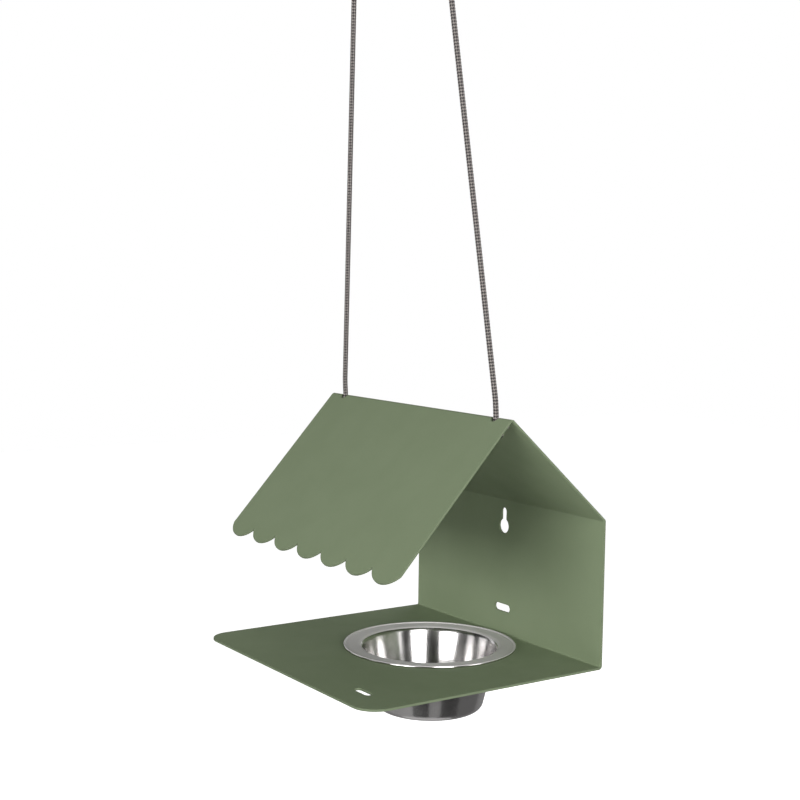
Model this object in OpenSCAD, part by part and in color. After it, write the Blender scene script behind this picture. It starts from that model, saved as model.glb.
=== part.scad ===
/* [Sheet] */
// Thickness of the painted steel sheet
sheet_t = 1.5; // [1:0.1:2.5]
// Inside radius of every bend
bend_r = 1; // [0.6:0.1:3]
// Width of the strip, side to side
body_w = 200; // [185:1:260]
// Depth of the floor, from the wall's outer face to its front edge
floor_d = 176; // [165:1:230]
// Radius of the floor's two front corners
corner_r = 15; // [4:1:30]
// Height of the wall, from the floor's underside to the rear fold
wall_h = 95; // [92:1:130]

/* [Roof] */
// Length of the rear slope, from fold to ridge
rear_len = 102; // [85:1:130]
// Pitch of the rear slope above level
rear_pitch = 41.5; // [35:0.5:50]
// Length of the front slope, from ridge to the tips of its scallops
front_len = 124.5; // [100:0.5:150]
// Pitch of the front slope below level
front_pitch = 47.5; // [40:0.5:52]
// Number of scallops along the eave
scallop_count = 7; // [4:1:9]
// Radius of one scallop
scallop_r = 16.5; // [14.5:0.5:30]

/* [Wall openings] */
// Height of the keyhole's round part above the floor's underside
keyhole_z = 76; // [60:1:78]
// Diameter of the keyhole's round part
keyhole_d = 10; // [7:0.5:12]
// Width of the keyhole's neck
neck_w = 5; // [4.5:0.5:6]
// Rise of the neck's end above the centre of the round part
neck_rise = 10; // [8:1:12]
// Height of the lower slot above the floor's underside
slot_z = 19.5; // [14:0.5:40]
// Length of the lower slot, end to end
slot_len = 16; // [10:1:30]
// Width of the lower slot
slot_w = 5; // [4:0.5:8]

/* [Drain slot] */
// Length of the drain slot, side to side
drain_len = 16; // [8:1:20]
// Width of the drain slot
drain_w = 5; // [3:0.5:7]
// Drain slot's middle, in from the floor's front edge
drain_inset = 20; // [10:1:30]
// Drain slot's middle, in from the strip's right edge
drain_side = 35; // [18:1:60]

/* [Bowl] */
// Diameter over the bowl's flange
flange_d = 114; // [108:1:118]
// Diameter of the bowl's wall where it meets the flange
bowl_top_d = 90; // [80:0.5:95]
// Diameter of the bowl's wall where it meets the bottom
bowl_foot_d = 70; // [50:1:76]
// Depth of the bowl below the floor's underside
bowl_drop = 40; // [25:1:55]
// Outside radius between the bowl's wall and its bottom
bowl_foot_r = 6; // [3:0.5:10]
// Radius over the lip between the flange and the wall
bowl_lip_r = 4; // [1.5:0.1:5]
// Gauge of the bowl's metal
bowl_t = 0.6; // [0.4:0.1:1]
// Diameter of the rolled bead round the flange
bead_d = 1.6; // [1.4:0.1:2]
// Flange's underside above the bottom of its bead
bead_lift = 0.4; // [0.2:0.1:0.7]
// Gap of the paint under the bead
seat_gap = 0.1; // [0.05:0.05:0.3]
// Bowl's centre, in front of the wall's outer face
bowl_y = 62; // [61:1:90]
// Gap between the bowl's lip and the edge of its hole
bowl_gap = 0.5; // [0.3:0.1:1.5]

/* [Cord] */
// Diameter of the braided cord
cord_d = 3.5; // [2.5:0.1:4]
// Diameter of the two holes in the ridge
cord_hole_d = 6; // [5:0.5:7]
// Middle of a ridge hole, in from the strip's side
cord_inset = 15.5; // [13:0.5:35]
// Height of the hanging point above the ridge
hang_drop = 317; // [220:1:600]
// Lean of the cord towards the front, in degrees
cord_lean = 3.7; // [0:0.1:6]
// Radius of the cord's crown, at its centre line
crown_r = 51; // [20:1:60]
// Length of cord that stands straight up out of a hole
cord_rise = 9; // [5:1:20]
// Diameter over a stopper knot
knot_d = 9; // [8:0.5:10]
// Length of the cord's cut end beyond a knot's middle
tail_len = 12; // [7:0.5:13]
// Gap between a knot and the slopes above it
knot_gap = 0.3; // [0.1:0.1:1]

/* [Hidden] */
$fn = 96;

// One overrun for every cut
over = 5;

// Unit step for a heading in degrees, and the heading of a step
function step(angle) = [cos(angle), sin(angle)];
function heading(v) = atan2(v[1], v[0]);

// A path's line moved to its left, with a round of the given radius at each inner corner of the path
bend_steps = 12;
function rounded(path, radii, left) =
    let (
        last = len(path) - 1,
        first_side = step(heading(path[1] - path[0]) + 90),
        last_side = step(heading(path[last] - path[last - 1]) + 90)
    )
    concat(
        [path[0] + left * first_side],
        [for (i = [1 : last - 1]) each round_corner(path[i - 1], path[i], path[i + 1], radii[i - 1], left)],
        [path[last] + left * last_side]
    );

function round_corner(before, corner, after, radius, left) =
    let (
        start = heading(corner - before),
        wide_turn = heading(after - corner) - start,
        turn = wide_turn - 360 * round(wide_turn / 360),
        side = sign(turn),
        centre = corner - radius * tan(abs(turn) / 2) * step(start) + side * radius * step(start + 90)
    )
    [for (k = [0 : bend_steps]) centre + (left - side * radius) * step(start + turn * k / bend_steps + 90)];

// The closed section of a sheet: its path's line, and back along the line one thickness to the left
function reversed(list) = [for (i = [1 : len(list)]) list[len(list) - i]];
function sheet_section(path, radii, thickness) =
    concat(rounded(path, radii, 0), reversed(rounded(path, radii, thickness)));

// The strip runs from the floor's front edge back, up the wall, and over the ridge to the eave
wall_heading = 90;
rear_heading = 180 - rear_pitch;
front_heading = 180 + front_pitch;

// Corners of the strip's outer faces, with the wall's foot at zero
front_edge = [-floor_d, 0];
wall_foot = [0, 0];
rear_fold = [0, wall_h];
ridge = rear_fold + rear_len * step(rear_heading);
eave = ridge + front_len * step(front_heading);
strip_path = [front_edge, wall_foot, rear_fold, ridge, eave];
ridge_turn = front_heading - rear_heading;

// The origin is where the cord hangs, above the ridge and in front of it
hang_lead = hang_drop * tan(cord_lean);
body_at = [0, hang_lead - ridge[0], -hang_drop - ridge[1]];

// The bowl's outer faces from its bead inwards and down, as [radius, z], and the hole that clears its lip
bead_at = [(flange_d - bead_d) / 2, sheet_t + seat_gap + bead_d / 2];
flange_z = sheet_t + seat_gap + bead_lift;
bowl_top = [bowl_top_d / 2, flange_z];
bowl_foot = [bowl_foot_d / 2, -bowl_drop];
bowl_path = [[bead_at[0], flange_z], bowl_top, bowl_foot, [0, -bowl_drop]];
lip_under_r = bowl_lip_r - bowl_t;
lip_turn = heading(bowl_foot - bowl_top) + 180;
bowl_hole_r = bowl_top[0] + lip_under_r * tan(lip_turn / 2) + bowl_gap;

// A knot is two wraps round the cord, and it nests in the fold on the line that halves the ridge
cord_r = cord_d / 2;
wrap_r = knot_d / 2 - cord_r;
knot_reach = norm([wrap_r, cord_r]) + cord_r;
ridge_half = (180 - ridge_turn) / 2;
knot_depth = (knot_reach + knot_gap + sheet_t) / sin(ridge_half);
knot_tilt = (front_pitch - rear_pitch) / 2;
hole_at = [0, hang_lead, -hang_drop];
knot_up = [0, -sin(knot_tilt), cos(knot_tilt)];

// The cord's loop lies in one plane that leans forward, with places in it as side and fall
function in_loop(side, fall) = [side, fall * sin(cord_lean), -fall * cos(cord_lean)];
loop_square = [0, cos(cord_lean), sin(cord_lean)];
hole_side = body_w / 2 - cord_inset;
hole_fall = hang_drop / cos(cord_lean);
foot_fall = hole_fall - cord_rise;
crown_fall = crown_r - cord_r;

// A strand runs from its foot to where it touches the crown's arc
foot_gap = norm([hole_side, foot_fall - crown_fall]);
strand_len = sqrt(foot_gap * foot_gap - crown_r * crown_r);
strand_lean = atan2(hole_side, foot_fall - crown_fall) - asin(crown_r / foot_gap);
crown_turn = 180 - 2 * strand_lean;

// Rings along the cord stand no more than three diameters apart
ring_gap = 3 * cord_d;
strand_rings = ceil(strand_len / ring_gap);
crown_rings = ceil(crown_turn * PI / 180 * crown_r / ring_gap);
cord_sides = 8;

function knot_top(side) = [side, 0, 0] + hole_at - (knot_depth - cord_d) * knot_up;
function strand_point(k) = in_loop(
    hole_side - strand_len * k / strand_rings * sin(strand_lean),
    foot_fall - strand_len * k / strand_rings * cos(strand_lean)
);
function crown_point(k) = in_loop(
    crown_r * cos(strand_lean + crown_turn * k / crown_rings),
    crown_fall - crown_r * sin(strand_lean + crown_turn * k / crown_rings)
);
function other_side(p) = [-p[0], p[1], p[2]];

// The cord's centre line from the right knot over the crown to the left knot
right_strand = [for (k = [0 : strand_rings - 1]) strand_point(k)];
cord_path = concat(
    [knot_top(hole_side), in_loop(hole_side, hole_fall)],
    right_strand,
    [for (k = [0 : crown_rings]) crown_point(k)],
    [for (k = [1 : strand_rings]) other_side(right_strand[strand_rings - k])],
    [in_loop(-hole_side, hole_fall), knot_top(-hole_side)]
);

function unit(v) = v / norm(v);
function cord_heading(i) = unit(cord_path[min(i + 1, len(cord_path) - 1)] - cord_path[max(i - 1, 0)]);

// One ring of points round the centre line, measured from the direction square to the loop
function cord_ring(i) =
    let (
        ahead = cord_heading(i),
        first = unit(loop_square - loop_square * ahead * ahead)
    )
    [for (k = [0 : cord_sides - 1])
        cord_path[i] + cord_r * (cos(360 * k / cord_sides) * first + sin(360 * k / cord_sides) * cross(ahead, first))];

// A slot with round ends, level in its blank
module slot(length, width) {
    flat_len = length - width;
    square([flat_len, width], center = true);
    for (side = [-1, 1]) translate([side * flat_len / 2, 0]) circle(d = width);
}

// A cutter through one leg of the strip: its outline's x stays across and its y runs along the leg
module through_leg(start, angle) {
    translate([0, start[0], start[1]])
        rotate([angle, 0, 0])
            translate([0, 0, -over]) linear_extrude(sheet_t + 2 * over) children();
}

// What is cut from the floor, measured from its front edge
module floor_cuts() {
    for (side = [-1, 1]) {
        difference() {
            translate([side * body_w / 2, 0]) square(2 * corner_r, center = true);
            translate([side * (body_w / 2 - corner_r), corner_r]) circle(corner_r);
        }
    }
    translate([0, floor_d - bowl_y]) circle(bowl_hole_r);
    translate([body_w / 2 - drain_side, drain_inset]) slot(drain_len, drain_w);
}

// What is cut from the wall, measured from its foot
module wall_cuts() {
    translate([0, keyhole_z]) circle(d = keyhole_d);
    translate([0, keyhole_z + neck_rise / 2]) rotate(90) slot(neck_rise + neck_w, neck_w);
    translate([0, slot_z]) slot(slot_len, slot_w);
}

// What is cut from the front slope, measured from the ridge: all that lies beyond the scallops
module eave_cuts() {
    pitch = body_w / scallop_count;
    scallop_y = front_len - scallop_r;
    difference() {
        translate([-body_w / 2 - over, scallop_y]) square([body_w + 2 * over, scallop_r + over]);
        for (i = [0 : scallop_count - 1])
            translate([(i + 0.5) * pitch - body_w / 2, scallop_y]) circle(scallop_r);
    }
}

module folded_body() {
    bend_radii = [for (i = [1 : 3]) bend_r + sheet_t];
    color([0.46, 0.50, 0.41]) translate(body_at) difference() {
        rotate([90, 0, 90])
            linear_extrude(body_w, center = true) polygon(sheet_section(strip_path, bend_radii, sheet_t));
        through_leg(front_edge, 0) floor_cuts();
        through_leg(wall_foot, wall_heading) wall_cuts();
        through_leg(ridge, front_heading) eave_cuts();
        for (side = [-1, 1])
            translate([side * hole_side, ridge[0], ridge[1] - cord_hole_d - over])
                cylinder(d = cord_hole_d, h = cord_hole_d + 2 * over);
    }
}

module feeding_bowl() {
    color([0.78, 0.77, 0.75]) translate(body_at + [0, -bowl_y, 0]) {
        rotate_extrude() polygon(sheet_section(bowl_path, [lip_under_r, bowl_foot_r], -bowl_t));
        rotate_extrude() translate(bead_at) circle(d = bead_d);
    }
}

module hanging_cord() {
    rings = len(cord_path);
    points = [for (i = [0 : rings - 1]) each cord_ring(i)];
    skin = [
        for (i = [0 : rings - 2], k = [0 : cord_sides - 1])
            let (
                a = i * cord_sides + k,
                b = i * cord_sides + (k + 1) % cord_sides
            )
            each [[a, a + cord_sides, b], [b, a + cord_sides, b + cord_sides]]
    ];
    first_cap = [for (k = [0 : cord_sides - 1]) k];
    last_cap = [for (k = [1 : cord_sides]) rings * cord_sides - k];
    color([0.55, 0.53, 0.51]) polyhedron(points, concat([first_cap, last_cap], skin));
}

// A stopper knot with its middle at zero, its cord upwards and its cut end out to one side
module knot(side) {
    rotate_extrude() {
        translate([0, -cord_d]) square([wrap_r, 2 * cord_d]);
        for (wrap = [-1, 1]) translate([wrap_r, wrap * cord_r]) circle(cord_r);
    }
    rotate([0, side * 90, 0]) cylinder(d = cord_d, h = tail_len);
}

module left_knot() {
    color([0.50, 0.48, 0.46]) translate(hole_at - knot_depth * knot_up - [hole_side, 0, 0])
        rotate([knot_tilt, 0, 0]) knot(-1);
}

module right_knot() {
    color([0.50, 0.48, 0.46]) translate(hole_at - knot_depth * knot_up + [hole_side, 0, 0])
        rotate([knot_tilt, 0, 0]) knot(1);
}

folded_body();
feeding_bowl();
hanging_cord();
left_knot();
right_knot();
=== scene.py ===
import math

import bpy
import numpy as np
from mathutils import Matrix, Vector
from mathutils.geometry import delaunay_2d_cdt


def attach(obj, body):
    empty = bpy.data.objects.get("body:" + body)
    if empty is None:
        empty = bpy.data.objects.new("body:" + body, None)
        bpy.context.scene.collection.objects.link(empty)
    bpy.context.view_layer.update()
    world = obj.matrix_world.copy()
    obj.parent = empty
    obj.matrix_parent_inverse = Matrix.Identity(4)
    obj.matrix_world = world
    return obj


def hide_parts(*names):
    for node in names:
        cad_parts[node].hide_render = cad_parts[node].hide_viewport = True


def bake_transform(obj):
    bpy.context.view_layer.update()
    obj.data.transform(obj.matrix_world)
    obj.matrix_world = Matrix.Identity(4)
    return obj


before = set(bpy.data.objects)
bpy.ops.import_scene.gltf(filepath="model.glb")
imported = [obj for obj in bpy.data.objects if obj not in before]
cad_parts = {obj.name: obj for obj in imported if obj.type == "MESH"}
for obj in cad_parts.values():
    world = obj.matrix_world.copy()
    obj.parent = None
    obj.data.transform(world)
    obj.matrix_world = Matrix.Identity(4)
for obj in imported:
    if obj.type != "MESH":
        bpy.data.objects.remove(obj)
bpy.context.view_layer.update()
print("frame loaded")

# Metres throughout. The part's origin is where the cord hangs.
hair = 1e-9     # lengths closer than this are the same


def stepAlong(degrees):
    return np.array([math.cos(math.radians(degrees)), math.sin(math.radians(degrees))])


# The camera stands at the photograph's viewing angle.
camera = {
    "place": (0.76051, -0.51026, -0.22872),
    "turnDegrees": (84.695, -0.785, 55.772),
    "lens": 64.94,
    "sensorWidth": 36,
    "clipStart": 0.01,
}


def addCamera():
    data = bpy.data.cameras.new("viewCamera")
    data.lens = camera["lens"]
    data.sensor_width = camera["sensorWidth"]
    data.clip_start = camera["clipStart"]
    viewer = bpy.data.objects.new("viewCamera", data)
    viewer.location = camera["place"]
    viewer.rotation_euler = [math.radians(a) for a in camera["turnDegrees"]]
    bpy.context.scene.collection.objects.link(viewer)
    bpy.context.scene.camera = viewer


addCamera()


# Node helpers for the materials.
def newMaterial(name):
    material = bpy.data.materials.new(name)
    material.use_nodes = True
    tree = material.node_tree
    tree.nodes.clear()
    output = tree.nodes.new("ShaderNodeOutputMaterial")
    shader = tree.nodes.new("ShaderNodeBsdfPrincipled")
    tree.links.new(shader.outputs["BSDF"], output.inputs["Surface"])
    return material, tree, shader


def addNode(tree, kind, inputs=None, **settings):
    node = tree.nodes.new(kind)
    for name, value in settings.items():
        setattr(node, name, value)
    for name, value in (inputs or {}).items():
        if isinstance(value, bpy.types.NodeSocket):
            tree.links.new(value, node.inputs[name])
        else:
            node.inputs[name].default_value = value
    return node


def mixColours(tree, factor, first, second):
    node = addNode(tree, "ShaderNodeMix", data_type="RGBA", blend_type="MIX")
    for socket, value in ((node.inputs[0], factor), (node.inputs[6], first), (node.inputs[7], second)):
        if isinstance(value, bpy.types.NodeSocket):
            tree.links.new(value, socket)
        else:
            socket.default_value = value
    return node.outputs[2]


def spread(tree, value, low, high, outLow, outHigh):
    node = addNode(tree, "ShaderNodeMapRange", {"Value": value, "From Min": low, "From Max": high,
                                                "To Min": outLow, "To Max": outHigh})
    return node.outputs["Result"]


# Nearly all of a noise's values lie in this range.
noiseRange = (0.3, 0.7)


def spreadNoise(tree, noise, bounds):
    return spread(tree, noise, *noiseRange, *bounds)


def addNoise(tree, where, scale, detail):
    return addNode(tree, "ShaderNodeTexNoise", {"Vector": where, "Scale": scale, "Detail": detail}).outputs["Fac"]


def addBump(tree, shader, height, depth):
    bump = addNode(tree, "ShaderNodeBump", {"Height": height, "Distance": depth, "Strength": 1})
    tree.links.new(bump.outputs["Normal"], shader.inputs["Normal"])


# Satin powder coat on the folded sheet: a fine orange peel, and a little unevenness in tone.
paint = {
    "colour": (0.181, 0.225, 0.137, 1),
    "deepColour": (0.174, 0.217, 0.131, 1),
    "roughness": (0.56, 0.64),
    "gloss": 0.14,
    "patchScale": 35,
    "patchDetail": 4,
    "patchRange": (0.35, 0.65),
    "speckleScale": 2600,
    "speckleDetail": 2,
    "speckleTones": (0.93, 1.07),
    "peelScale": 1500,
    "peelDetail": 3,
    "peelDepth": 0.000012,
    "tones": {"powderCoat": 1.0, "shadedCutEdgeCoat": 0.72},     # the cut edges get a darker copy of the paint, a painted shade
}


def makePaint(name):
    material, tree, shader = newMaterial(name)
    shader.inputs["Specular IOR Level"].default_value = paint["gloss"]
    where = addNode(tree, "ShaderNodeTexCoord").outputs["Object"]
    patches = addNoise(tree, where, paint["patchScale"], paint["patchDetail"])
    speckle = addNoise(tree, where, paint["speckleScale"], paint["speckleDetail"])
    tone = mixColours(tree, spread(tree, patches, *paint["patchRange"], 0, 1), paint["colour"], paint["deepColour"])
    strengths = [paint["tones"][name] * share for share in paint["speckleTones"]]
    fleck = mixColours(tree, spreadNoise(tree, speckle, strengths), (0, 0, 0, 1), tone)
    tree.links.new(fleck, shader.inputs["Base Color"])
    tree.links.new(spreadNoise(tree, patches, paint["roughness"]), shader.inputs["Roughness"])
    peel = addNoise(tree, where, paint["peelScale"], paint["peelDetail"])
    addBump(tree, shader, peel, paint["peelDepth"])
    return material


# Spun stainless steel: fine turning lines round the bowl's own axis stretch every reflection up and down.
steel = {
    "colour": (0.62, 0.605, 0.60, 1),
    "ringScale": 2400,
    "ringDetail": 3,
    "ringTones": (0.9, 1.0),
    "smudgeScale": 60,
    "smudgeDetail": 3,
    "grainTurn": 0.25,     # of a full turn
    "finishes": {
        "spunOutside": {"metallic": 1, "roughness": (0.16, 0.24), "anisotropy": 0.8, "ringDepth": 0.000004},
        "polishedRim": {"metallic": 1, "roughness": (0.12, 0.18), "anisotropy": 0.5, "ringDepth": 0.000001},
        "brushedFlange": {"metallic": 0.55, "roughness": (0.62, 0.74), "anisotropy": 0.3, "ringDepth": 0.000006},
        "polishedInside": {"metallic": 1, "roughness": (0.18, 0.28), "anisotropy": 0.8, "ringDepth": 0.000002},
    },
}


def makeSteel(name):
    finish = steel["finishes"][name]
    material, tree, shader = newMaterial(name)
    shader.inputs["Metallic"].default_value = finish["metallic"]
    shader.inputs["Anisotropic"].default_value = finish["anisotropy"]
    shader.inputs["Anisotropic Rotation"].default_value = steel["grainTurn"]
    where = addNode(tree, "ShaderNodeTexCoord").outputs["Object"]
    split = addNode(tree, "ShaderNodeSeparateXYZ", {"Vector": where})
    flatPlace = addNode(tree, "ShaderNodeCombineXYZ", {"X": split.outputs["X"], "Y": split.outputs["Y"]})
    away = addNode(tree, "ShaderNodeVectorMath", {0: flatPlace.outputs["Vector"]}, operation="LENGTH")
    along = addNode(tree, "ShaderNodeMath", {0: away.outputs["Value"], 1: split.outputs["Z"]},
                    operation="SUBTRACT")
    rings = addNode(tree, "ShaderNodeTexNoise", {
        "W": along.outputs["Value"], "Scale": steel["ringScale"], "Detail": steel["ringDetail"],
    }, noise_dimensions="1D").outputs["Fac"]
    smudges = addNoise(tree, where, steel["smudgeScale"], steel["smudgeDetail"])
    shade = mixColours(tree, spreadNoise(tree, rings, steel["ringTones"]), (0, 0, 0, 1), steel["colour"])
    tree.links.new(shade, shader.inputs["Base Color"])
    tree.links.new(spreadNoise(tree, smudges, finish["roughness"]), shader.inputs["Roughness"])
    addBump(tree, shader, rings, finish["ringDepth"])
    tangent = addNode(tree, "ShaderNodeTangent", direction_type="RADIAL", axis="Z")
    tree.links.new(tangent.outputs["Tangent"], shader.inputs["Tangent"])
    return material


# Two yarns cross in the cord's braid, a dark grey one and a paler beige one.
yarns = {
    "greyYarn": (0.045, 0.040, 0.042, 1),
    "paleYarn": (0.27, 0.248, 0.235, 1),
    "coreYarn": (0.024, 0.022, 0.023, 1),
    "roughness": 0.9,
    "gloss": 0.1,
    "fibreScale": 3500,
    "fibreDetail": 3,
    "fibreTones": (0.7, 1.1),
    "fibreDepth": 0.00008,
}


def makeYarn(name):
    material, tree, shader = newMaterial(name)
    shader.inputs["Roughness"].default_value = yarns["roughness"]
    shader.inputs["Specular IOR Level"].default_value = yarns["gloss"]
    where = addNode(tree, "ShaderNodeTexCoord").outputs["Object"]
    fibres = addNoise(tree, where, yarns["fibreScale"], yarns["fibreDetail"])
    shade = mixColours(tree, spreadNoise(tree, fibres, yarns["fibreTones"]), (0, 0, 0, 1), yarns[name])
    tree.links.new(shade, shader.inputs["Base Color"])
    addBump(tree, shader, fibres, yarns["fibreDepth"])
    return material


sheetPaints = [makePaint(name) for name in paint["tones"]]
bowlSteels = [makeSteel(name) for name in steel["finishes"]]
braidYarns = [makeYarn(name) for name in ("greyYarn", "paleYarn", "coreYarn")]
print("materials made")


def addPiece(name, points, faces, materials, faceMaterials=None, normals=None):
    mesh = bpy.data.meshes.new(name)
    mesh.from_pydata([tuple(p) for p in points], [], faces)
    mesh.polygons.foreach_set("use_smooth", [True] * len(mesh.polygons))
    for material in materials:
        mesh.materials.append(material)
    if faceMaterials is not None:
        mesh.polygons.foreach_set("material_index", faceMaterials)
    mesh.update()
    if normals is not None:
        mesh.normals_split_custom_set([tuple(n) for n in normals])
    piece = bpy.data.objects.new(name, mesh)
    bpy.context.scene.collection.objects.link(piece)
    return piece


# The cord goes from the right knot over its crown to the left knot, in a plane that leans forward.
cord = {
    "diameter": 0.0035,
    "span": 0.169,
    "drop": 0.317,
    "leanDegrees": 3.7,
    "crownRadius": 0.051,
    "crownSteps": 24,
    "rise": 0.009,        # straight length above a hole
    "softBend": 0.006,    # length over which a corner of the route is eased
    "flexLength": 0.022,  # length above a hole that bends when the feeder rocks
    "step": 0.00032,
    "pathEvery": 8,       # every eighth point of the line
}
knotSeat = {
    "depth": 0.009547,   # knot's middle below the ridge, along the line that halves the ridge
    "tiltDegrees": 3.0,
    "topRise": 0.0035,   # from the knot's middle to where the cord leaves it
}

leanBack = math.tan(math.radians(cord["leanDegrees"])) * cord["drop"]
holeFall = cord["drop"] / math.cos(math.radians(cord["leanDegrees"]))
ridgePlace = np.array([0, leanBack, -cord["drop"]])
knotTilt = math.radians(knotSeat["tiltDegrees"])
knotUp = np.array([0, -math.sin(knotTilt), math.cos(knotTilt)])


def inLoop(side, fall):
    # A point of the cord's leaning plane: side from its middle line, fall below the top.
    lean = math.radians(cord["leanDegrees"])
    return np.array([side, fall * math.sin(lean), -fall * math.cos(lean)])


def cordRoute():
    side = cord["span"] / 2
    radius = cord["crownRadius"]
    footFall = holeFall - cord["rise"]
    crownFall = radius - cord["diameter"] / 2
    reach = math.hypot(side, footFall - crownFall)
    strandLean = math.atan2(side, footFall - crownFall) - math.asin(radius / reach)
    half = [ridgePlace + np.array([side, 0, 0]) - knotUp * (knotSeat["depth"] - knotSeat["topRise"]),
            inLoop(side, holeFall), inLoop(side, footFall)]
    for k in range(cord["crownSteps"] + 1):
        angle = strandLean + (math.pi / 2 - strandLean) * k / cord["crownSteps"]
        half.append(inLoop(radius * math.cos(angle), crownFall - radius * math.sin(angle)))
    return half + [p * np.array([-1, 1, 1]) for p in reversed(half[:-1])]


def evenPoints(points, step):
    points = np.array(points)
    lengths = np.concatenate([[0], np.cumsum(np.linalg.norm(np.diff(points, axis=0), axis=1))])
    count = max(8, int(round(lengths[-1] / step)))
    wanted = np.linspace(0, lengths[-1], count + 1)
    return np.stack([np.interp(wanted, lengths, points[:, k]) for k in range(3)], axis=1)


def eased(points, step, reach):
    # A running mean that shrinks to nothing at the two ends.
    half = max(1, int(reach / step / 2))
    total = len(points)
    sums = np.concatenate([np.zeros((1, 3)), np.cumsum(points, axis=0)])
    out = points.copy()
    for i in range(total):
        h = min(half, i, total - 1 - i)
        out[i] = (sums[i + h + 1] - sums[i - h]) / (2 * h + 1)
    return out


def framesAlong(points):
    ahead = np.gradient(points, axis=0)
    ahead /= np.linalg.norm(ahead, axis=1)[:, None]
    skew = [0.3, 0.9, 0.1]     # any direction that the cord doesn't start along
    first = np.cross(ahead[0], skew)
    first /= np.linalg.norm(first)
    firsts = [first]
    for i in range(1, len(points)):
        turned = firsts[-1] - np.dot(firsts[-1], ahead[i]) * ahead[i]
        firsts.append(turned / np.linalg.norm(turned))
    firsts = np.array(firsts)
    return ahead, firsts, np.cross(ahead, firsts)


braid = {
    "carriers": 6,        # yarns each way
    "pitch": 0.0114,      # length in which a yarn goes once round
    "yarnWidth": 0.00115,
    "yarnThickness": 0.00055,
    "weave": 0.00017,     # how far a yarn rises and dips at each crossing
    "sides": 6,
    "coreSides": 12,
    "coreEvery": 3,       # the core has a ring at every third point
    "coreSink": 0.1,      # the core lies this share of a yarn's thickness below the yarns' middle
}


def braidAlong(name, points):
    # The points are evenly spaced. Yarns wind round them both ways over a plain core.
    ahead, first, second = framesAlong(points)
    gaps = np.linalg.norm(np.diff(points, axis=0), axis=1)
    along = np.concatenate([[0], np.cumsum(gaps)])
    outer = cord["diameter"] / 2
    middle = outer - braid["yarnThickness"] / 2 - braid["weave"]
    count = len(points)
    verts, faces, slots = [], [], []

    def addTube(rings, slot):
        base = sum(len(v) for v in verts)
        sides = rings.shape[1]
        verts.append(rings.reshape(-1, 3))
        for i in range(rings.shape[0] - 1):
            a = base + i * sides
            for k in range(sides):
                n = (k + 1) % sides
                faces.append((a + k, a + n, a + sides + n, a + sides + k))
                slots.append(slot)
        faces.append(tuple(base + k for k in reversed(range(sides))))
        last = base + (rings.shape[0] - 1) * sides
        faces.append(tuple(last + k for k in range(sides)))
        slots.extend([slot, slot])

    coreRadius = middle - braid["yarnThickness"] * braid["coreSink"]
    angles = 2 * math.pi * np.arange(braid["coreSides"]) / braid["coreSides"]
    ring = coreRadius * (np.cos(angles)[None, :, None] * first[:, None, :]
                         + np.sin(angles)[None, :, None] * second[:, None, :])
    keep = np.unique(np.concatenate([np.arange(0, count, braid["coreEvery"]), [count - 1]]))
    addTube((points[:, None, :] + ring)[keep], 2)

    crossings = 2 * math.pi * braid["carriers"] / braid["pitch"]
    shape = 2 * math.pi * np.arange(braid["sides"]) / braid["sides"]
    for way in (1, -1):
        for carrier in range(braid["carriers"]):
            angle = way * 2 * math.pi * along / braid["pitch"] + 2 * math.pi * carrier / braid["carriers"]
            outward = np.cos(angle)[:, None] * first + np.sin(angle)[:, None] * second
            radius = middle + way * braid["weave"] * np.cos(crossings * along)
            centre = points + radius[:, None] * outward
            run = np.gradient(centre, axis=0)
            run /= np.linalg.norm(run, axis=1)[:, None]
            across = np.cross(outward, run)
            rings = (centre[:, None, :]
                     + np.cos(shape)[None, :, None] * across[:, None, :] * braid["yarnWidth"] / 2
                     + np.sin(shape)[None, :, None] * outward[:, None, :] * braid["yarnThickness"] / 2)
            addTube(rings, 0 if way > 0 else 1)
    return addPiece(name, np.concatenate(verts), faces, braidYarns, slots)


cordLine = eased(evenPoints(cordRoute(), cord["step"]), cord["step"], cord["softBend"])
hangingCord = braidAlong("hangingCord", cordLine)

# Each end is a stopper knot: the cord goes down, winds round itself and leaves to the side.
knot = {
    "wrapRadius": 0.0030,
    "turns": 1.6,
    "firstDegrees": 54,
    "low": -0.0021,
    "high": 0.0013,
    "wrapSteps": 40,
    # Shares of the first wrap's x and y, and a height; then a share of the tip's x, a y, and a share of its height.
    "entry": ((0, 0, 0.001), (0, 0, -0.0012), (0.35, 0.2, -0.0026), (0.8, 0.7, -0.0027)),
    "tail": ((0.35, -0.0026, 0.55), (0.65, -0.0010, 0.8)),
    "tailTip": (0.0108, 0.0, 0.0045),
    "softBend": 0.0032,
    "step": 0.0003,
}


def knotLine(side):
    wraps = []
    for k in range(knot["wrapSteps"] + 1):
        angle = math.radians(knot["firstDegrees"] + 360 * knot["turns"] * k / knot["wrapSteps"])
        height = knot["low"] + (knot["high"] - knot["low"]) * k / knot["wrapSteps"]
        wraps.append((knot["wrapRadius"] * math.cos(angle), knot["wrapRadius"] * math.sin(angle), height))
    startX, startY, _ = wraps[0]
    tip = knot["tailTip"]
    line = [(0, 0, knotSeat["topRise"])]
    line += [(startX * x, startY * y, height) for x, y, height in knot["entry"]] + wraps
    line += [(tip[0] * x, y, tip[2] * height) for x, y, height in knot["tail"]] + [tip]
    middle = ridgePlace - knotSeat["depth"] * knotUp + np.array([side * cord["span"] / 2, 0, 0])
    straight, across = math.cos(knotTilt), math.sin(knotTilt)
    turned = [middle + np.array([side * x, y * straight - z * across, y * across + z * straight])
              for x, y, z in line]
    return eased(evenPoints(turned, knot["step"]), knot["step"], knot["softBend"])


leftKnot = braidAlong("leftKnot", knotLine(-1))
rightKnot = braidAlong("rightKnot", knotLine(1))
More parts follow.
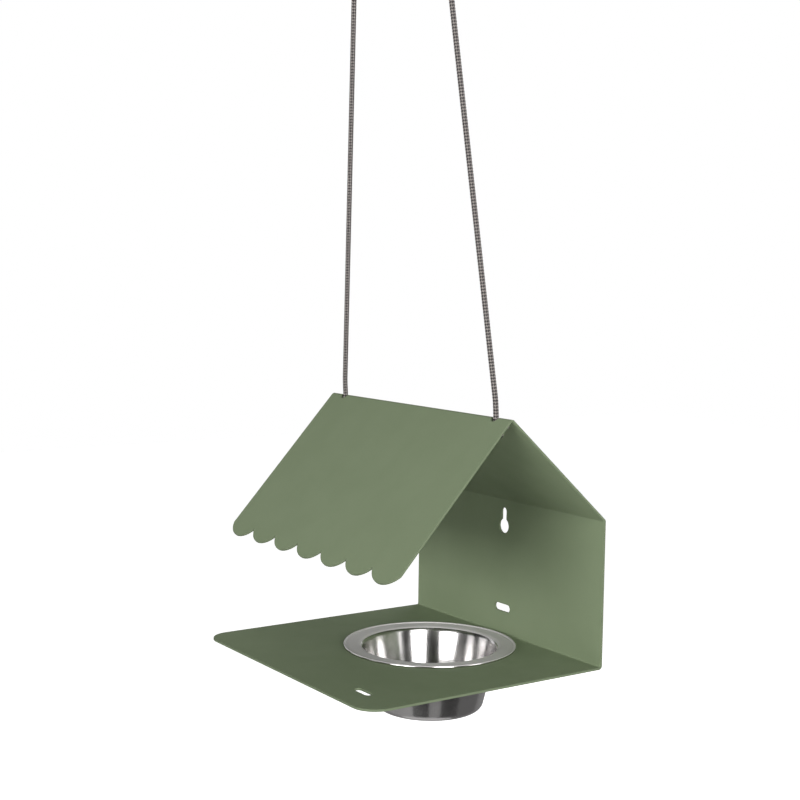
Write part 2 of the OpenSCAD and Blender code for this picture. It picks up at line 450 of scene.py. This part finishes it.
# The new cord and knots take the place of the CAD ones, which are hidden, and keep their places in the world.
for piece, node in ((hangingCord, "hanging_cord"), (leftKnot, "left_knot"), (rightKnot, "right_knot")):
    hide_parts(node)
    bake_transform(piece)
print("knots made")


# The folded sheet is laid out flat, cut, and then bent: x runs across, s along it from the floor's front edge.
sheet = {
    "thickness": 0.0015,
    "bendRadius": 0.001,
    "width": 0.200,
    "floorDepth": 0.176,
    "cornerRadius": 0.015,
    "wallHeight": 0.095,
    "rearLength": 0.102,
    "rearPitch": 41.5,
    "frontLength": 0.1245,
    "frontPitch": 47.5,
    "scallops": 7,
    "scallopRadius": 0.0165,
    "keyholeHeight": 0.076,
    "keyholeRadius": 0.005,
    "neckRadius": 0.0025,
    "neckRise": 0.010,
    "slotHeight": 0.0195,
    "slotLength": 0.016,
    "slotWidth": 0.005,
    "drainLength": 0.016,
    "drainWidth": 0.005,
    "drainInset": 0.020,
    "drainSide": 0.035,
    "bowlSpace": 0.062,
    "bowlHoleRadius": 0.04819,
    "cordHoleRadius": 0.0031,
    "cordHoleStretch": 0.0006,
    "edgeRound": 0.00028,
    "roundSteps": 3,
    "sharpCorner": 0.9,     # cosine of the turn at which a corner of the cut counts as sharp
    "bendSteps": 12,
    "cornerSteps": 12,
    "scallopSteps": 20,
    "slotSteps": 14,
    "keyholeSteps": 40,
    "bowlHoleSteps": 144,
    "cordHoleSteps": 10,
}


def layOutRows():
    # One row for each flat leg and each bend, with where it starts and ends along the strip. Its place is the
    # leg's start or the bend's centre, and zero is where the leg would start if it had sharp corners.
    headings = [0, 90, 180 - sheet["rearPitch"], 180 + sheet["frontPitch"]]
    lengths = [sheet["floorDepth"], sheet["wallHeight"], sheet["rearLength"], sheet["frontLength"]]
    outer = sheet["bendRadius"] + sheet["thickness"]
    corner = np.array([-sheet["floorDepth"], 0.0])
    rows, s, trimmed = [], 0.0, 0.0

    def addRow(bend, length, place, heading, turn, zero):
        rows.append({"bend": bend, "from": s, "to": s + length, "place": place,
                     "heading": heading, "turn": turn, "zero": zero})
        return s + length

    for i, (heading, length) in enumerate(zip(headings, lengths)):
        turn = headings[i + 1] - heading if i < 3 else 0
        cut = outer * math.tan(math.radians(turn) / 2)
        flat = length - trimmed - cut
        start = corner + trimmed * stepAlong(heading)
        s = addRow(False, flat, start, heading, 0, s - trimmed)
        if turn:
            centre = start + flat * stepAlong(heading) + outer * stepAlong(heading + 90)
            s = addRow(True, outer * math.radians(turn), centre, heading, turn, s)
        corner = corner + length * stepAlong(heading)
        trimmed = cut
    return rows, corner - lengths[3] * stepAlong(headings[3])


sheetRows, ridgeCorner = layOutRows()
_, _, wallRow, _, _, ridgeBend, frontRow = sheetRows
sheetPlace = np.array([0, leanBack - ridgeCorner[0], -cord["drop"] - ridgeCorner[1]])


def foldPoint(x, s, depth):
    # Place, inward normal and direction along the strip of a flat point, depth below the sheet's outer face.
    row = next((row for row in sheetRows if s <= row["to"] + hair), sheetRows[-1])
    share = (s - row["from"]) / (row["to"] - row["from"]) if row["bend"] else 0
    along = stepAlong(row["heading"] + row["turn"] * share)
    inward = stepAlong(row["heading"] + row["turn"] * share + 90)
    if row["bend"]:
        place = row["place"] - (sheet["bendRadius"] + sheet["thickness"] - depth) * inward
    else:
        place = row["place"] + (s - row["from"]) * along + depth * inward
    return (sheetPlace + np.array([x, place[0], place[1]]),
            np.array([0, inward[0], inward[1]]), np.array([0, along[0], along[1]]))


def linesOf(bend):
    steps = sheet["bendSteps"]
    return [bend["from"] + (bend["to"] - bend["from"]) * k / steps for k in range(steps + 1)]


bendLines = [s for row in sheetRows if row["bend"] for s in linesOf(row)]


def arcPoints(centre, radius, first, last, steps, outwards=1):
    # Points of a cut edge, each with the direction that leads out of the sheet.
    points = []
    for k in range(steps + 1):
        angle = math.radians(first + (last - first) * k / steps)
        way = np.array([math.cos(angle), math.sin(angle)])
        points.append((np.array(centre) + radius * way, outwards * way))
    return points


def sheetOutline():
    half = sheet["width"] / 2
    corner = sheet["cornerRadius"]
    radius = sheet["scallopRadius"]
    pitch = sheet["width"] / sheet["scallops"]
    row = frontRow["zero"] + sheet["frontLength"] - radius
    spreadAngle = math.degrees(math.asin(pitch / 2 / radius))
    right = arcPoints((half - corner, corner), corner, -90, 0, sheet["cornerSteps"])
    right += [(np.array([half, s]), np.array([1.0, 0])) for s in bendLines]
    eave = []
    for i in reversed(range(sheet["scallops"])):
        centre = ((i + 0.5) * pitch - half, row)
        arc = arcPoints(centre, radius, 90 - spreadAngle, 90 + spreadAngle, sheet["scallopSteps"])
        if eave:
            # Two scallops meet in one point, which leads straight out.
            arc = arc[1:]
            eave[-1] = (eave[-1][0], np.array([0, 1.0]))
        eave += arc
    tilt = (90 - spreadAngle) / 2
    mirror = np.array([-1, 1])
    eave[0] = (eave[0][0], stepAlong(tilt))
    eave[-1] = (eave[-1][0], stepAlong(tilt) * mirror)
    left = [(p * mirror, n * mirror) for p, n in reversed(right)]
    return right + eave + left


def slotOutline(centre, length, width):
    radius = width / 2
    reach = length / 2 - radius
    x, s = centre
    return (arcPoints((x + reach, s), radius, -90, 90, sheet["slotSteps"], -1)
            + arcPoints((x - reach, s), radius, 90, 270, sheet["slotSteps"], -1))


def keyholeOutline():
    middle = wallRow["zero"] + sheet["keyholeHeight"]
    big, small = sheet["keyholeRadius"], sheet["neckRadius"]
    half = math.degrees(math.asin(small / big))
    lower = arcPoints((0, middle), big, 90 + half, 450 - half, sheet["keyholeSteps"], -1)
    upper = arcPoints((0, middle + sheet["neckRise"]), small, 0, 180, sheet["slotSteps"], -1)
    return lower + upper


def cordHoleOutline(x):
    # Two round ends with short straight sides between them. The points fall on the bend's own lines.
    middle = (ridgeBend["from"] + ridgeBend["to"]) / 2
    radius, stretch, steps = sheet["cordHoleRadius"], sheet["cordHoleStretch"], sheet["cordHoleSteps"]
    half = []
    for s in linesOf(ridgeBend):
        shift = max(-stretch, min(stretch, s - middle))
        rise = (s - middle - shift) / (radius + sheet["edgeRound"])
        half.append((math.degrees(math.asin(rise)), shift))
    top = half[-1][0]
    half += [(top + (180 - 2 * top) * k / steps, stretch) for k in range(1, steps)]
    points = []
    for angle, shift in half + [(180 + angle, -shift) for angle, shift in half]:
        way = stepAlong(angle)
        points.append((np.array([x, middle + shift]) + radius * way, -way))
    return points


def bowlHoleOutline():
    steps = sheet["bowlHoleSteps"]
    centre = (0, sheet["floorDepth"] - sheet["bowlSpace"])
    return arcPoints(centre, sheet["bowlHoleRadius"], 0, 360 - 360 / steps, steps - 1, -1)


def insidePolygon(point, polygon):
    x, y = point
    inside = False
    for (ax, ay), (bx, by) in zip(polygon, polygon[1:] + polygon[:1]):
        if (ay > y) != (by > y) and x < (bx - ax) * (y - ay) / (by - ay) + ax:
            inside = not inside
    return inside


def cutLoops():
    side = sheet["width"] / 2
    drainPlace = (side - sheet["drainSide"], sheet["drainInset"])
    slotPlace = (0, wallRow["zero"] + sheet["slotHeight"])
    return [
        sheetOutline(),
        bowlHoleOutline(),
        slotOutline(drainPlace, sheet["drainLength"], sheet["drainWidth"]),
        keyholeOutline(),
        slotOutline(slotPlace, sheet["slotLength"], sheet["slotWidth"]),
        cordHoleOutline(-cord["span"] / 2),
        cordHoleOutline(cord["span"] / 2),
    ]


def flatTriangles(borders):
    # Triangles of the flat strip between its borders, and the vertex that stands for each border point.
    flat, edges = [], []
    for border in borders:
        first = len(flat)
        flat += border
        edges += [(first + k, first + (k + 1) % len(border)) for k in range(len(border))]
    edgeCount = len(flat)

    # Lines across each bend, broken where a cord hole interrupts them.
    for s in bendLines:
        onLine = sorted((flat[i][0], i) for i in range(edgeCount) if abs(flat[i][1] - s) < 10 * hair)
        for k in range(0, len(onLine) - 1, 2):
            edges.append((onLine[k][1], onLine[k + 1][1]))

    verts, _, triangles, origins, _, _ = delaunay_2d_cdt([Vector(p) for p in flat], edges, [], 1, hair, True)
    kept = []
    for face in triangles:
        middle = sum((verts[i] for i in face), Vector((0, 0))) / len(face)
        if sum(insidePolygon(middle, border) for border in borders) == 1:
            kept.append(face)
    standsFor = {source: i for i, sources in enumerate(origins) for source in sources}
    return verts, kept, standsFor


def makeSheet():
    loops = cutLoops()
    rounding, thickness, steps = sheet["edgeRound"], sheet["thickness"], sheet["roundSteps"]
    borders = [[tuple(p - rounding * n) for p, n in loop] for loop in loops]
    verts, kept, standsFor = flatTriangles(borders)

    points, normals, faces = [], [], []
    outerOf, innerOf = {}, {}
    for i, v in enumerate(verts):
        for depth, table, sign in ((0, outerOf, -1), (thickness, innerOf, 1)):
            place, inward, _ = foldPoint(v.x, v.y, depth)
            table[i] = len(points)
            points.append(place)
            normals.append(sign * inward)
    for face in kept:
        faces.append(tuple(outerOf[i] for i in reversed(face)))
        faces.append(tuple(innerOf[i] for i in face))
    corners = [normals[i] for face in faces for i in face]
    cutFrom = len(faces)

    # Every cut edge is rounded on both sides: a column of points goes down it at each point of its loop.
    profile = [(90 * k / steps, False) for k in range(1, steps + 1)]
    profile += [(90 * k / steps, True) for k in range(steps, 0, -1)]
    first = 0
    for loop in loops:
        outline = first == 0
        columns = []
        for k, (edge, way) in enumerate(loop):
            column = [outerOf[standsFor[first + k]]]
            for angle, lower in profile:
                out = math.sin(math.radians(angle))
                back = math.cos(math.radians(angle))
                depth = rounding * (1 - back)
                x, s = edge - rounding * way + rounding * out * way
                place, inward, along = foldPoint(x, s, thickness - depth if lower else depth)
                column.append(len(points))
                points.append(place)
                sideways = np.array([way[0], 0, 0]) + way[1] * along
                normals.append(out * sideways + back * (inward if lower else -inward))
            column.append(innerOf[standsFor[first + k]])
            columns.append(column)
        for k, a in enumerate(columns):
            n = (k + 1) % len(columns)
            b = columns[n]
            # At a sharp corner of the cut, each face keeps the facing of its own side.
            run = loop[n][0] - loop[k][0]
            square = np.array([run[1], -run[0]]) / np.linalg.norm(run) * (1 if outline else -1)
            aLike = b if np.dot(loop[k][1], square) < sheet["sharpCorner"] else a
            bLike = a if np.dot(loop[n][1], square) < sheet["sharpCorner"] else b
            for j in range(len(a) - 1):
                face, like = [a[j], b[j], b[j + 1], a[j + 1]], [aLike[j], bLike[j], bLike[j + 1], aLike[j + 1]]
                if not outline:
                    face.reverse()
                    like.reverse()
                faces.append(tuple(face))
                corners += [normals[i] for i in like]
        first += len(loop)
    # The cut edges take the darker copy of the paint: a painted shade on the edges that catch the lamps.
    coats = [0] * cutFrom + [1] * (len(faces) - cutFrom)
    return addPiece("foldedSheet", points, faces, sheetPaints, coats, corners)


foldedSheet = makeSheet()
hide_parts("folded_body")
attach(foldedSheet, "feeder")
print("sheet folded,", len(foldedSheet.data.polygons), "faces")


# The bowl is spun round its own upright axis, from the middle of its foot out to the bead and back inside.
bowl = {
    "flangeDiameter": 0.114,
    "topDiameter": 0.090,
    "footDiameter": 0.070,
    "drop": 0.040,
    "footRadius": 0.006,
    "footSteps": 12,
    "lipRadius": 0.004,
    "lipSteps": 10,
    "brushedLip": 5,        # of the lip's steps
    "gauge": 0.0006,
    "beadDiameter": 0.0016,
    "beadLift": 0.0004,     # the flange's underside above the bead's lowest line
    "beadSteps": 24,
    "polishedBead": 14,     # of the bead's steps
    "seatGap": 0.0001,
    "slices": 240,
    "sharpDegrees": 40,
}


def roundCorner(before, corner, after, radius, shift, steps):
    # Points of a rounded corner, moved sideways by shift.
    first = math.degrees(math.atan2(*(corner - before)[::-1]))
    turn = math.degrees(math.atan2(*(after - corner)[::-1])) - first
    turn -= 360 * round(turn / 360)
    side = 1 if turn > 0 else -1
    cut = radius * math.tan(math.radians(abs(turn)) / 2)
    centre = corner - cut * stepAlong(first) + side * radius * stepAlong(first + 90)
    return [centre + (shift - side * radius) * stepAlong(first + turn * k / steps + 90) for k in range(steps + 1)]


def bowlProfile():
    gauge, bead = bowl["gauge"], bowl["beadDiameter"] / 2
    beadMiddle = np.array([bowl["flangeDiameter"] / 2 - bead, sheet["thickness"] + bowl["seatGap"] + bead])
    flangeLow = beadMiddle[1] - bead + bowl["beadLift"]
    rim = np.array([beadMiddle[0], flangeLow])
    top = np.array([bowl["topDiameter"] / 2, flangeLow])
    foot = np.array([bowl["footDiameter"] / 2, -bowl["drop"]])
    middle = np.array([0.0, -bowl["drop"]])

    def line(shift):
        lip = roundCorner(rim, top, foot, bowl["lipRadius"] - gauge, shift, bowl["lipSteps"])
        return lip + roundCorner(top, foot, middle, bowl["footRadius"], shift, bowl["footSteps"]) + [
            middle - np.array([0, shift])]

    lowAngle = 180 + math.degrees(math.asin((beadMiddle[1] - flangeLow) / bead))
    highAngle = 540 - math.degrees(math.asin((flangeLow + gauge - beadMiddle[1]) / bead))
    turn = (highAngle - lowAngle) / bowl["beadSteps"]
    beadArc = [beadMiddle + bead * stepAlong(lowAngle + turn * k) for k in range(bowl["beadSteps"] + 1)]
    outside = list(reversed(line(0)))
    inside = line(-gauge)
    # One finish for each step of the profile. The flange's brushed one runs on over the bead and the lip's start.
    profile = outside + beadArc + inside
    brushed = bowl["beadSteps"] - bowl["polishedBead"] + 1 + bowl["brushedLip"]
    finishes = [0] * len(outside) + [1] * bowl["polishedBead"] + [2] * brushed
    finishes += [3] * (len(profile) - 1 - len(finishes))
    return profile, finishes


def makeBowl():
    profile, finishes = bowlProfile()
    slices = bowl["slices"]
    points, faces, rings, slots = [], [], [], []
    for radius, height in profile:
        if radius < hair:
            rings.append([len(points)] * slices)
            points.append((0, 0, height))
            continue
        rings.append([len(points) + k for k in range(slices)])
        for k in range(slices):
            angle = 2 * math.pi * k / slices
            points.append((radius * math.cos(angle), radius * math.sin(angle), height))
    for low, high, finish in zip(rings, rings[1:], finishes):
        for k in range(slices):
            n = (k + 1) % slices
            faces.append(tuple(dict.fromkeys([low[k], low[n], high[n], high[k]])))
            slots.append(finish)
    piece = addPiece("feedingBowl", points, faces, bowlSteels, slots)
    piece.data.set_sharp_from_angle(angle=math.radians(bowl["sharpDegrees"]))
    piece.location = sheetPlace + np.array([0, -sheet["bowlSpace"], 0])
    return piece


feedingBowl = makeBowl()
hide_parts("feeding_bowl")
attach(feedingBowl, "bowl")
print("bowl spun")


# A white room: the feeder hangs well above a pale floor.
stage = {
    "floorHeight": -1.15,
    "floorSize": 12,
    "floorTone": (0.9, 0.9, 0.9, 1),
    "floorRoughness": 0.9,
    "floorLift": 0.9,     # added for the camera and for metal, so that the floor is as white as the room
    "roomLight": 0.1,     # the room's own light on the feeder; the camera and metal see it white
    "aim": (0, 0.03, -0.42),
}


def seenWhite(tree):
    # 1 for the rays of the camera, of reflections and of transmission, else 0.
    path = addNode(tree, "ShaderNodeLightPath")
    seen = path.outputs["Is Camera Ray"]
    for kind in ("Is Glossy Ray", "Is Transmission Ray"):
        either = addNode(tree, "ShaderNodeMath", {0: seen, 1: path.outputs[kind]}, operation="MAXIMUM")
        seen = either.outputs["Value"]
    return seen


def makeStage():
    size = stage["floorSize"] / 2
    corners = [(-size, -size, stage["floorHeight"]), (size, -size, stage["floorHeight"]),
               (size, size, stage["floorHeight"]), (-size, size, stage["floorHeight"])]
    material, tree, shader = newMaterial("paleFloor")
    shader.inputs["Base Color"].default_value = stage["floorTone"]
    shader.inputs["Roughness"].default_value = stage["floorRoughness"]
    shader.inputs["Emission Color"].default_value = (1, 1, 1, 1)
    tree.links.new(spread(tree, seenWhite(tree), 0, 1, 0, stage["floorLift"]), shader.inputs["Emission Strength"])
    floor = addPiece("paleFloor", corners, [(0, 1, 2, 3)], [material])

    world = bpy.data.worlds.new("whiteRoom")
    bpy.context.scene.world = world
    world.use_nodes = True
    tree = world.node_tree
    tree.nodes.clear()
    output = tree.nodes.new("ShaderNodeOutputWorld")
    strength = spread(tree, seenWhite(tree), 0, 1, stage["roomLight"], 1)
    sky = addNode(tree, "ShaderNodeBackground", {"Color": (1, 1, 1, 1), "Strength": strength})
    tree.links.new(sky.outputs["Background"], output.inputs["Surface"])


# Soft boxes that face the feeder. Each has its azimuth (0 is the front, 90 the right) and elevation in degrees, its
# distance, width, height and power, and whether reflections see it.
lamps = {
    "keyLamp": (20, 8, 2.0, 1.05, 0.5, 26, True),
    "rightLamp": (75, 17, 2.0, 0.80, 1.1, 35, True),
    "farRightLamp": (118, 15, 2.0, 0.60, 0.9, 6, True),
    "leftFrontLamp": (-44, 9, 2.0, 0.60, 0.5, 4, False),
    "backLamp": (200, 20, 2.2, 1.6, 1.6, 20, True),
}


def fromFeeder(azimuth, elevation, away):
    side, rise = math.radians(azimuth), math.radians(elevation)
    way = Vector((math.sin(side) * math.cos(rise), -math.cos(side) * math.cos(rise), math.sin(rise)))
    return Vector(stage["aim"]) + away * way


def addLamps():
    for name, (azimuth, elevation, away, width, height, power, mirrored) in lamps.items():
        data = bpy.data.lights.new(name, "AREA")
        data.shape = "RECTANGLE"
        data.size = width
        data.size_y = height
        data.energy = power
        light = bpy.data.objects.new(name, data)
        light.location = fromFeeder(azimuth, elevation, away)
        light.rotation_euler = (Vector(stage["aim"]) - light.location).to_track_quat("-Z", "Y").to_euler()
        light.visible_glossy = mirrored
        bpy.context.scene.collection.objects.link(light)


# Cards from black to pale that only reflections see. They give the polished steel its dark bands and keep a
# grazing sheen off the floor. Each kind has the radius and height of its near edge, then of its far edge, and each
# place has its tone, its kind and its first and last azimuth.
cards = {
    "tones": {"blackCard": 0.03, "dimCard": 0.05, "shadeCard": 0.15, "greyCard": 0.25, "midCard": 0.36,
              "paleCard": 0.6, "lightCard": 0.7},
    "standing": (3.0, -0.95, 3.0, 3.4),
    "lying": (0.30, -1.14, 2.9, -1.14),
    "below": (0.0, -1.13, 0.32, -1.13),
    "hanging": (2.9, 0.5, 2.9, 3.4),
    "places": [
        ("blackCard", "standing", 36, 63), ("blackCard", "standing", 88, 107), ("greyCard", "standing", 125, 205),
        ("lightCard", "standing", 205, 228), ("dimCard", "standing", 228, 265), ("blackCard", "standing", -18, 4),
        ("blackCard", "standing", -44, -30), ("blackCard", "standing", -80, -68), ("greyCard", "lying", -180, -60),
        ("midCard", "lying", -60, 18), ("dimCard", "lying", 18, 58), ("greyCard", "lying", 58, 86),
        ("dimCard", "lying", 86, 126), ("shadeCard", "lying", 126, 180), ("paleCard", "below", -180, 180),
        ("blackCard", "hanging", -75, 0),
    ],
    "stepDegrees": 6,
}


def makeCards():
    for index, (tone, kind, first, last) in enumerate(cards["places"]):
        nearRadius, nearHeight, farRadius, farHeight = cards[kind]
        points, faces = [], []
        steps = max(2, round((last - first) / cards["stepDegrees"]))
        for k in range(steps + 1):
            side = math.radians(first + (last - first) * k / steps)
            for radius, height in ((nearRadius, nearHeight), (farRadius, farHeight)):
                points.append((radius * math.sin(side), -radius * math.cos(side), height))
            if k:
                faces.append((2 * k - 2, 2 * k, 2 * k + 1, 2 * k - 1))
        material, tree, shader = newMaterial(tone)
        shader.inputs["Base Color"].default_value = (0, 0, 0, 1)
        shader.inputs["Specular IOR Level"].default_value = 0
        shader.inputs["Emission Color"].default_value = (1, 1, 1, 1)
        shader.inputs["Emission Strength"].default_value = cards["tones"][tone]
        card = addPiece(f"{tone}{index}", points, faces, [material])
        card.visible_camera = card.visible_diffuse = card.visible_shadow = card.visible_transmission = False


makeStage()
addLamps()
makeCards()
bpy.context.scene.view_settings.view_transform = "Standard"
print("stage and lamps set")
